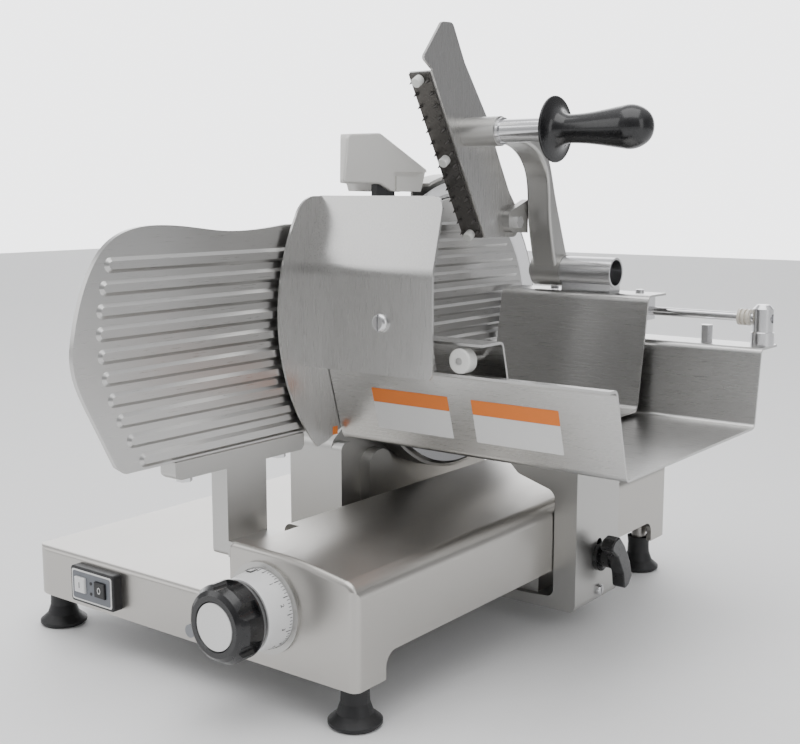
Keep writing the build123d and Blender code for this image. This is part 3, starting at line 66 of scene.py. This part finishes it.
def finish(name, colour, metallic, roughness, grain, vary=0.05, rough_vary=0.08, bump=0.15,
           depth=0.0001, cloud=4.0, cloud_vary=0.06, coat=0.0, coat_roughness=0.1):
    """Surface with a fine grain (period set per axis) over slow, cloudy changes of tone."""
    material = bpy.data.materials.new(name)
    material.use_nodes = True
    tree = material.node_tree
    shader = tree.nodes["Principled BSDF"]
    shader.inputs["Metallic"].default_value = metallic
    shader.inputs["IOR"].default_value = 1.5
    shader.inputs["Coat Weight"].default_value = coat
    shader.inputs["Coat Roughness"].default_value = coat_roughness
    place = tree.nodes.new("ShaderNodeTexCoord")
    stretch = tree.nodes.new("ShaderNodeMapping")
    stretch.inputs["Scale"].default_value = grain
    fine = tree.nodes.new("ShaderNodeTexNoise")
    fine.inputs["Scale"].default_value = 1.0
    fine.inputs["Detail"].default_value = 4.0
    slow = tree.nodes.new("ShaderNodeTexNoise")
    slow.inputs["Scale"].default_value = cloud
    slow.inputs["Detail"].default_value = 2.0
    tree.links.new(place.outputs["Object"], stretch.inputs["Vector"])
    tree.links.new(stretch.outputs["Vector"], fine.inputs["Vector"])
    tree.links.new(place.outputs["Object"], slow.inputs["Vector"])

    def tones(source, spread):
        ramp = tree.nodes.new("ShaderNodeValToRGB")
        dark, light = ramp.color_ramp.elements
        dark.position = TONE_LOW
        light.position = TONE_HIGH
        dark.color = [c * (1 - spread) for c in colour] + [1]
        light.color = [min(1.0, c * (1 + spread)) for c in colour] + [1]
        tree.links.new(source.outputs["Fac"], ramp.inputs["Fac"])
        return ramp

    mix = tree.nodes.new("ShaderNodeMix")
    mix.data_type = "RGBA"
    mix.inputs["Factor"].default_value = 0.5
    tree.links.new(tones(fine, vary).outputs["Color"], mix.inputs["A"])
    tree.links.new(tones(slow, cloud_vary).outputs["Color"], mix.inputs["B"])
    tree.links.new(mix.outputs["Result"], shader.inputs["Base Color"])
    level = tree.nodes.new("ShaderNodeMapRange")
    level.inputs["From Min"].default_value = TONE_LOW
    level.inputs["From Max"].default_value = TONE_HIGH
    level.inputs["To Min"].default_value = max(0.02, roughness - rough_vary)
    level.inputs["To Max"].default_value = roughness + rough_vary
    tree.links.new(fine.outputs["Fac"], level.inputs["Value"])
    tree.links.new(level.outputs["Result"], shader.inputs["Roughness"])
    relief = tree.nodes.new("ShaderNodeBump")
    relief.inputs["Strength"].default_value = bump
    relief.inputs["Distance"].default_value = depth
    tree.links.new(fine.outputs["Fac"], relief.inputs["Height"])
    tree.links.new(relief.outputs["Normal"], shader.inputs["Normal"])
    return material


blasted_aluminium = finish("blasted_aluminium", (0.52, 0.515, 0.50), 1.0, 0.38, (1400, 1400, 1400),
                           vary=0.03, rough_vary=0.04, bump=0.12, depth=0.00005, cloud=6.0,
                           cloud_vary=0.04)
brushed_base = finish("brushed_base", (0.50, 0.485, 0.46), 1.0, 0.34, (1500, 40, 1500),
                      vary=0.03, rough_vary=0.04, bump=0.06, depth=0.00004, cloud=5.0,
                      cloud_vary=0.06)
gauge_aluminium = finish("gauge_aluminium", (0.56, 0.555, 0.545), 1.0, 0.30, (1500, 30, 1500),
                         vary=0.03, rough_vary=0.03, bump=0.05, depth=0.00004, cloud=4.0,
                         cloud_vary=0.04)
brushed_sheet = finish("brushed_sheet", (0.58, 0.575, 0.565), 1.0, 0.29, (35, 1800, 1800),
                       vary=0.025, rough_vary=0.035, bump=0.05, depth=0.00003, cloud=4.0,
                       cloud_vary=0.05)
upright_sheet = finish("upright_sheet", (0.58, 0.575, 0.565), 1.0, 0.29, (1800, 1800, 35),
                       vary=0.025, rough_vary=0.035, bump=0.05, depth=0.00003, cloud=5.0,
                       cloud_vary=0.05)
ground_steel = finish("ground_steel", (0.74, 0.74, 0.75), 1.0, 0.14, (900, 900, 900),
                      vary=0.02, rough_vary=0.03, bump=0.03, depth=0.00003)
bright_steel = finish("bright_steel", (0.70, 0.70, 0.71), 1.0, 0.22, (800, 800, 800),
                      vary=0.03, rough_vary=0.05, bump=0.05, depth=0.00004)
turned_bronze = finish("turned_bronze", (0.56, 0.38, 0.17), 1.0, 0.3, (500, 500, 500))
light_enamel = finish("light_enamel", (0.74, 0.73, 0.70), 0.2, 0.42, (900, 900, 900),
                      vary=0.02, rough_vary=0.04, bump=0.08, depth=0.00005, cloud=8.0,
                      cloud_vary=0.03)
dark_enamel = finish("dark_enamel", (0.035, 0.035, 0.037), 0.3, 0.42, (600, 600, 600),
                     vary=0.2, rough_vary=0.08, bump=0.2)
dark_strip = finish("dark_strip", (0.10, 0.095, 0.09), 0.8, 0.34, (300, 300, 300),
                    vary=0.3, rough_vary=0.1)
black_gloss = finish("black_gloss", (0.008, 0.008, 0.009), 0.0, 0.24, (300, 300, 300),
                     vary=0.3, rough_vary=0.05, bump=0.04, coat=0.25, coat_roughness=0.12)
black_moulded = finish("black_moulded", (0.012, 0.012, 0.013), 0.0, 0.40, (900, 900, 900),
                       vary=0.3, rough_vary=0.08, bump=0.25)
black_rubber = finish("black_rubber", (0.014, 0.014, 0.015), 0.0, 0.50, (500, 500, 500),
                      vary=0.4, rough_vary=0.1, bump=0.2)
white_moulded = finish("white_moulded", (0.78, 0.78, 0.78), 0.0, 0.36, (500, 500, 500),
                       vary=0.02, rough_vary=0.05, bump=0.08)
white_nylon = finish("white_nylon", (0.82, 0.82, 0.79), 0.0, 0.42, (400, 400, 400),
                     vary=0.03, rough_vary=0.06, bump=0.1)
clear_nylon = finish("clear_nylon", (0.70, 0.66, 0.58), 0.0, 0.25, (300, 300, 300),
                     vary=0.06, rough_vary=0.05, bump=0.1, coat=0.3)
grey_moulded = finish("grey_moulded", (0.25, 0.26, 0.28), 0.0, 0.4, (500, 500, 500), vary=0.05)
plate_grey = finish("plate_grey", (0.16, 0.17, 0.19), 0.1, 0.42, (700, 700, 700), vary=0.05)
print_black = finish("print_black", (0.02, 0.02, 0.02), 0.0, 0.5, (900, 900, 900), vary=0.1)
label_white = finish("label_white", (0.80, 0.80, 0.79), 0.0, 0.4, (300, 300, 300),
                     vary=0.015, bump=0.03)
label_orange = finish("label_orange", (0.86, 0.22, 0.03), 0.0, 0.4, (300, 300, 300),
                      vary=0.03, bump=0.03)
grindstone = finish("grindstone", (0.34, 0.28, 0.22), 0.0, 0.9, (1200, 1200, 1200),
                    vary=0.3, rough_vary=0.05, bump=0.6, depth=0.0004)

FINISH_NODES = (
    (brushed_base, ("base_casting",)),
    (blasted_aluminium, ("pedestal", "drive_housing", "blade_ring", "gauge_bracket", "dial_bezel",
                         "carriage_arm", "press_arm")),
    (gauge_aluminium, ("blade_cover", "gauge_plate")),
    (brushed_sheet, ("bottom_cover", "outer_tray", "inner_tray")),
    (upright_sheet, ("hand_guard", "press_plate")),
    (ground_steel, ("carriage_guide_rod", "hub_bearings", "motor_shaft", "blade", "gauge_rods",
                    "tray_rod", "pivot_pin", "handle_shaft")),
    (bright_steel, ("roller_rail", "motor_pulley", "blade_pulley", "blade_hub", "blade_screws",
                    "gauge_bolts", "cam_shaft", "carriage_screws", "rod_posts", "rod_sliders",
                    "tray_screws", "pivot_tube", "press_bolt")),
    (turned_bronze, ("carriage_bushes",)),
    (light_enamel, ("sharpener_head",)),
    (dark_enamel, ("motor_housing", "sharpener_bracket")),
    (dark_strip, ("spike_strip",)),
    (black_gloss, ("cover_tie_rod", "thickness_knob", "wing_knob", "handle_grip")),
    (black_moulded, ("switch_box", "stop_button", "cable_gland")),
    (black_rubber, ("rubber_feet", "drive_belt")),
    (white_moulded, ("start_button", "dial_ring")),
    (white_nylon, ("carriage_roller", "tray_roller", "press_bumpers")),
    (clear_nylon, ("rod_bumper",)),
    (grey_moulded, ("front_plug",)),
    (grindstone, ("grinding_stone",)),
)
for surface, names in FINISH_NODES:
    for node_name in names:
        node_mesh = nodes[node_name].data
        node_mesh.materials.clear()
        node_mesh.materials.append(surface)


# ------------------------------------------------------------ ways to make the small pieces
def settle(piece, name, material, body):
    """Fix a finished piece in place: transform applied, named, painted, riding on its body."""
    piece.name = name
    piece.data.name = name
    bpy.ops.object.transform_apply(location=True, rotation=True, scale=True)
    piece.data.materials.clear()
    piece.data.materials.append(material)
    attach(piece, body)
    bpy.ops.object.select_all(action="DESELECT")


def plain_slab(centre, size, tilt):
    """Box with its scale applied, selected and active."""
    bpy.ops.object.select_all(action="DESELECT")
    bpy.ops.mesh.primitive_cube_add(size=1, location=centre, rotation=tilt)
    piece = bpy.context.active_object
    piece.scale = size
    bpy.ops.object.transform_apply(location=False, rotation=False, scale=True)
    return piece


def bevelled_slab(centre, size, bevel=0.0001, steps=2):
    """Flat slab with all its edges rounded."""
    piece = plain_slab(centre, size, (0, 0, 0))
    bpy.ops.object.mode_set(mode="EDIT")
    bpy.ops.mesh.select_all(action="SELECT")
    bpy.ops.mesh.bevel(offset=bevel, segments=steps, affect="EDGES")
    bpy.ops.object.mode_set(mode="OBJECT")
    return piece


def round_corner_slab(centre, size, corner, tilt=(0, 0, 0)):
    """Thin slab that faces -Y, with its four corners rounded in its own plane."""
    piece = plain_slab(centre, size, tilt)
    for edge in piece.data.edges:
        ends = [piece.data.vertices[i].co for i in edge.vertices]
        edge.select = abs(ends[0].y - ends[1].y) > size[1] / 2
    for face in piece.data.polygons:
        face.select = False
    for vertex in piece.data.vertices:
        vertex.select = False
    bpy.ops.object.mode_set(mode="EDIT")
    bpy.ops.mesh.select_mode(type="EDGE")
    bpy.ops.mesh.bevel(offset=corner, segments=5, affect="EDGES")
    bpy.ops.object.mode_set(mode="OBJECT")
    return piece


def cut_window(piece, centre, size):
    """Cut a rectangular window through a slab."""
    bpy.ops.mesh.primitive_cube_add(size=1, location=centre)
    cutter = bpy.context.active_object
    cutter.scale = size
    bpy.ops.object.select_all(action="DESELECT")
    bpy.context.view_layer.objects.active = piece
    piece.select_set(True)
    hole = piece.modifiers.new("window", "BOOLEAN")
    hole.operation = "DIFFERENCE"
    hole.solver = "EXACT"
    hole.object = cutter
    bpy.ops.object.modifier_apply(modifier=hole.name)
    bpy.data.objects.remove(cutter, do_unlink=True)


def turned_disc(centre, radius, depth, rim, sides=64):
    """Disc that faces -Y, with a bevelled rim."""
    bpy.ops.object.select_all(action="DESELECT")
    bpy.ops.mesh.primitive_cylinder_add(vertices=sides, radius=radius, depth=depth,
                                        location=centre, rotation=(pi / 2, 0, 0))
    piece = bpy.context.active_object
    bpy.ops.object.mode_set(mode="EDIT")
    bpy.ops.mesh.select_mode(type="FACE")
    bpy.ops.mesh.select_all(action="DESELECT")
    bpy.ops.object.mode_set(mode="OBJECT")
    for face in piece.data.polygons:
        face.select = len(face.vertices) == sides
    bpy.ops.object.mode_set(mode="EDIT")
    bpy.ops.mesh.inset(thickness=rim * 1.5)
    bpy.ops.mesh.select_all(action="SELECT")
    bpy.ops.mesh.bevel(offset=rim, segments=2, affect="EDGES", clamp_overlap=True)
    bpy.ops.object.mode_set(mode="OBJECT")
    bpy.ops.object.shade_smooth_by_angle(angle=radians(35))
    return piece


# ------------------------------------------------------------ dial marks
CONE_START_R = 0.0345  # radius of the white ring at the small end of its cone
CONE_LENGTH, CONE_RISE = 0.025, 0.0027
CONE_BACK = 0.0265  # small end of the cone, from the ring's rear edge
TICK_BACK = 0.0026  # rear end of the ticks, from the ring's rear edge
TICK_ARC = radians(350)
MARK_RAISE = 0.0005
NUMBER_STEP = radians(35)
NUMBER_HEIGHT, NUMBER_BACK, NUMBER_RAISE = 0.0058, 0.0125, 0.0001
ZERO_BACK, ZERO_WIDTH = 0.0085, 0.0022

dial_low, dial_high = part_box("dial_ring")
dial_x = (dial_low.x + dial_high.x) / 2
dial_z = (dial_low.z + dial_high.z) / 2


def cone_radius(y):
    """Radius of the white ring at a place along its axis."""
    return CONE_START_R + (y - (dial_high.y - CONE_BACK)) * CONE_RISE / CONE_LENGTH


def dial_piece(piece, name):
    settle(piece, name, print_black, "gauge_knob")


def dial_ticks(name, length, width, count):
    """Raised ticks in an arc on the white ring, spun round its axis."""
    y = dial_high.y - TICK_BACK - length / 2
    piece = bevelled_slab((dial_x, y, dial_z + cone_radius(y)), (width, length, 0.0004), steps=1)
    bpy.ops.object.transform_apply(location=True, rotation=True, scale=True)
    bpy.ops.object.mode_set(mode="EDIT")
    bpy.ops.mesh.select_all(action="SELECT")
    bpy.ops.mesh.spin(steps=count, dupli=True, angle=TICK_ARC, center=(dial_x, y, dial_z),
                      axis=(0, 1, 0))
    bpy.ops.mesh.select_all(action="SELECT")
    bpy.ops.mesh.normals_make_consistent(inside=False)
    bpy.ops.object.mode_set(mode="OBJECT")
    dial_piece(piece, name)


dial_ticks("dial_short_ticks", length=0.0032, width=0.0005, count=70)
dial_ticks("dial_long_ticks", length=0.0062, width=0.0007, count=14)

zero_y = dial_high.y - ZERO_BACK
zero_z = dial_z + cone_radius(zero_y)
dial_piece(bevelled_slab((dial_x - 0.003, zero_y, zero_z), (ZERO_WIDTH, 0.0110, MARK_RAISE)),
           "dial_zero_stem")
dial_piece(bevelled_slab((dial_x - 0.0058, zero_y - 0.0042, zero_z - 0.0006),
                         (0.0060, ZERO_WIDTH, MARK_RAISE)), "dial_zero_foot")

for number in range(1, 10):
    bpy.ops.object.select_all(action="DESELECT")
    bpy.ops.object.text_add(location=(0, 0, 0))
    digit = bpy.context.active_object
    digit.data.body = str(number)
    digit.data.size = NUMBER_HEIGHT
    digit.data.extrude = 0.00012
    digit.data.align_x = "CENTER"
    digit.data.align_y = "CENTER"
    bpy.ops.object.convert(target="MESH")
    turn = NUMBER_STEP * number
    y = dial_high.y - NUMBER_BACK
    reach = cone_radius(y) + NUMBER_RAISE
    digit.rotation_euler = (0, turn, 0)
    digit.location = (dial_x + reach * sin(turn), y, dial_z + reach * cos(turn))
    dial_piece(digit, "dial_number_%d" % number)

knob_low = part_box("thickness_knob")[0]
settle(turned_disc((dial_x, knob_low.y + 0.0013, dial_z), radius=0.0216, depth=0.0014, rim=0.0003),
       "knob_blank_disc", label_white, "gauge_knob")

# ------------------------------------------------------------ switch plate
PLATE_CORNER = 0.0025
BUTTON_WINDOW = (0.0168, 0.01, 0.0168)

switch_low, switch_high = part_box("switch_box")
switch_x = (switch_low.x + switch_high.x) / 2
switch_z = (switch_low.z + switch_high.z) / 2
start_low, start_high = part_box("start_button")
stop_low, stop_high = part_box("stop_button")
start_x, start_z = (start_low.x + start_high.x) / 2, (start_low.z + start_high.z) / 2
stop_x, stop_z = (stop_low.x + stop_high.x) / 2, (stop_low.z + stop_high.z) / 2

for name, size, out, material, slot in (
        ("switch_outline", (0.0625, 0.0004, 0.0325), 0.0002, label_white, "white_plastic"),
        ("switch_plate", (0.0590, 0.0006, 0.0290), 0.0004, plate_grey, "grey_plastic")):
    plate = round_corner_slab((switch_x, switch_low.y - out, switch_z), size, PLATE_CORNER)
    for x, z in ((start_x, start_z), (stop_x, stop_z)):
        cut_window(plate, (x, switch_low.y, z), BUTTON_WINDOW)
    settle(plate, name, material, "base")
for name, rise in (("upper", 0.005), ("lower", -0.006)):
    lamp = turned_disc((switch_x - 0.0005, switch_low.y - 0.0009, switch_z + rise),
                       radius=0.0017, depth=0.0007, rim=0.0002, sides=24)
    settle(lamp, "switch_lamp_" + name, print_black, "base")

settle(bevelled_slab((start_x, start_low.y - 0.0001, start_z), (0.0010, 0.0003, 0.0060)),
       "start_mark", print_black, "start_key")
bpy.ops.mesh.primitive_torus_add(major_radius=0.0026, minor_radius=0.00045, major_segments=40,
                                 minor_segments=8, location=(stop_x, stop_low.y, stop_z),
                                 rotation=(pi / 2, 0, 0))
stop_mark = bpy.context.active_object
bpy.ops.object.mode_set(mode="EDIT")
bpy.ops.mesh.select_all(action="SELECT")
bpy.ops.transform.resize(value=(0.78, 1.0, 1.15), center_override=stop_mark.location)
bpy.ops.object.mode_set(mode="OBJECT")
settle(stop_mark, "stop_mark", label_white, "stop_key")

# ------------------------------------------------------------ blank labels
WALL_LEAN = radians(15.94)  # of the tray's front wall
LABEL_BACK, LABEL_UP = 0.02524, 0.0391  # label on that wall, from the tray's low front corner
LABEL_THICK, LABEL_CORNER = 0.0003, 0.0008
FIELD_RISE, FIELD_HEIGHT = -0.0075, 0.029
BAND_RISE, BAND_HEIGHT = 0.0148, 0.0150
TAG_SIZE = (0.0004, 0.0075, 0.0085)

tray_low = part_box("outer_tray")[0]
guard_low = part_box("hand_guard")[0]


def tray_label(name, x, width):
    """White label with an orange band along its top, flat on the tray's sloping front wall."""
    for part, rise, height, material in (("field", FIELD_RISE, FIELD_HEIGHT, label_white),
                                         ("band", BAND_RISE, BAND_HEIGHT, label_orange)):
        centre = (tray_low.x + x, tray_low.y + LABEL_BACK - rise * sin(WALL_LEAN),
                  tray_low.z + LABEL_UP + rise * cos(WALL_LEAN))
        piece = round_corner_slab(centre, (width, LABEL_THICK, height), LABEL_CORNER,
                                  (WALL_LEAN, 0, 0))
        settle(piece, name + "_" + part, material, "carriage")


tray_label("left_label", x=0.0975, width=0.092)
tray_label("right_label", x=0.2175, width=0.094)
settle(bevelled_slab((guard_low.x + 0.0027, tray_low.y + 0.0245, guard_low.z + 0.0125), TAG_SIZE),
       "guard_tag", label_orange, "carriage")

# ------------------------------------------------------------ floor
bpy.ops.mesh.primitive_plane_add(size=14, location=(0, 0, 0))
floor = bpy.context.active_object
floor.name = "counter_floor"
floor.data.materials.append(finish("pale_floor", (0.90, 0.90, 0.90), 0.0, 0.6, (40, 40, 40),
                                   vary=0.01, rough_vary=0.03, bump=0.02, cloud=1.0,
                                   cloud_vary=0.01))
bpy.ops.object.select_all(action="DESELECT")

# ------------------------------------------------------------ studio light
world = bpy.data.worlds.new("studio")
bpy.context.scene.world = world
world.use_nodes = True
air = world.node_tree
sky = air.nodes["Background"]
sky.inputs["Color"].default_value = (0.98, 0.985, 1.0, 1)
way = air.nodes.new("ShaderNodeTexCoord")


def glow(direction, low, high, amount):
    """Brightness that grows towards one direction of the studio."""
    facing = air.nodes.new("ShaderNodeVectorMath")
    facing.operation = "DOT_PRODUCT"
    facing.inputs[1].default_value = direction
    air.links.new(way.outputs["Generated"], facing.inputs[0])
    spread = air.nodes.new("ShaderNodeMapRange")
    spread.interpolation_type = "SMOOTHSTEP"
    spread.inputs["From Min"].default_value = low
    spread.inputs["From Max"].default_value = high
    spread.inputs["To Max"].default_value = amount
    air.links.new(facing.outputs["Value"], spread.inputs["Value"])
    return spread.outputs["Result"]


ROOM_LEVEL = 0.34  # brightness all round, before the three glows
brightness = None
for light in (glow((-0.607, 0.795, 0.0), low=0.62, high=0.95, amount=3.2),  # backdrop
              glow((0.0, 0.0, 1.0), low=0.25, high=0.9, amount=0.7),  # overhead
              glow((-0.65, -0.72, 0.25), low=0.6, high=1.0, amount=0.2)):  # front left
    adder = air.nodes.new("ShaderNodeMath")
    adder.operation = "ADD"
    adder.inputs[1].default_value = ROOM_LEVEL
    air.links.new(light, adder.inputs[0])
    if brightness is not None:
        air.links.new(brightness, adder.inputs[1])
    brightness = adder.outputs["Value"]
air.links.new(brightness, sky.inputs["Strength"])

MIDDLE = Vector((0, 0, 0.3))


def softbox(name, where, width, height, power):
    """Rectangular lamp that looks at the middle of the machine."""
    lamp_data = bpy.data.lights.new(name, "AREA")
    lamp_data.shape = "RECTANGLE"
    lamp_data.size = width
    lamp_data.size_y = height
    lamp_data.energy = power
    box = bpy.data.objects.new(name, lamp_data)
    bpy.context.scene.collection.objects.link(box)
    box.location = where
    box.rotation_euler = (MIDDLE - Vector(where)).to_track_quat("-Z", "Y").to_euler()


softbox("softbox_above", (0.2, -0.4, 2.4), width=2.2, height=2.2, power=34)
softbox("softbox_left", (-2.2, -1.8, 1.5), width=1.4, height=2.0, power=14)
softbox("softbox_right", (2.4, -0.6, 1.1), width=1.0, height=1.8, power=9)
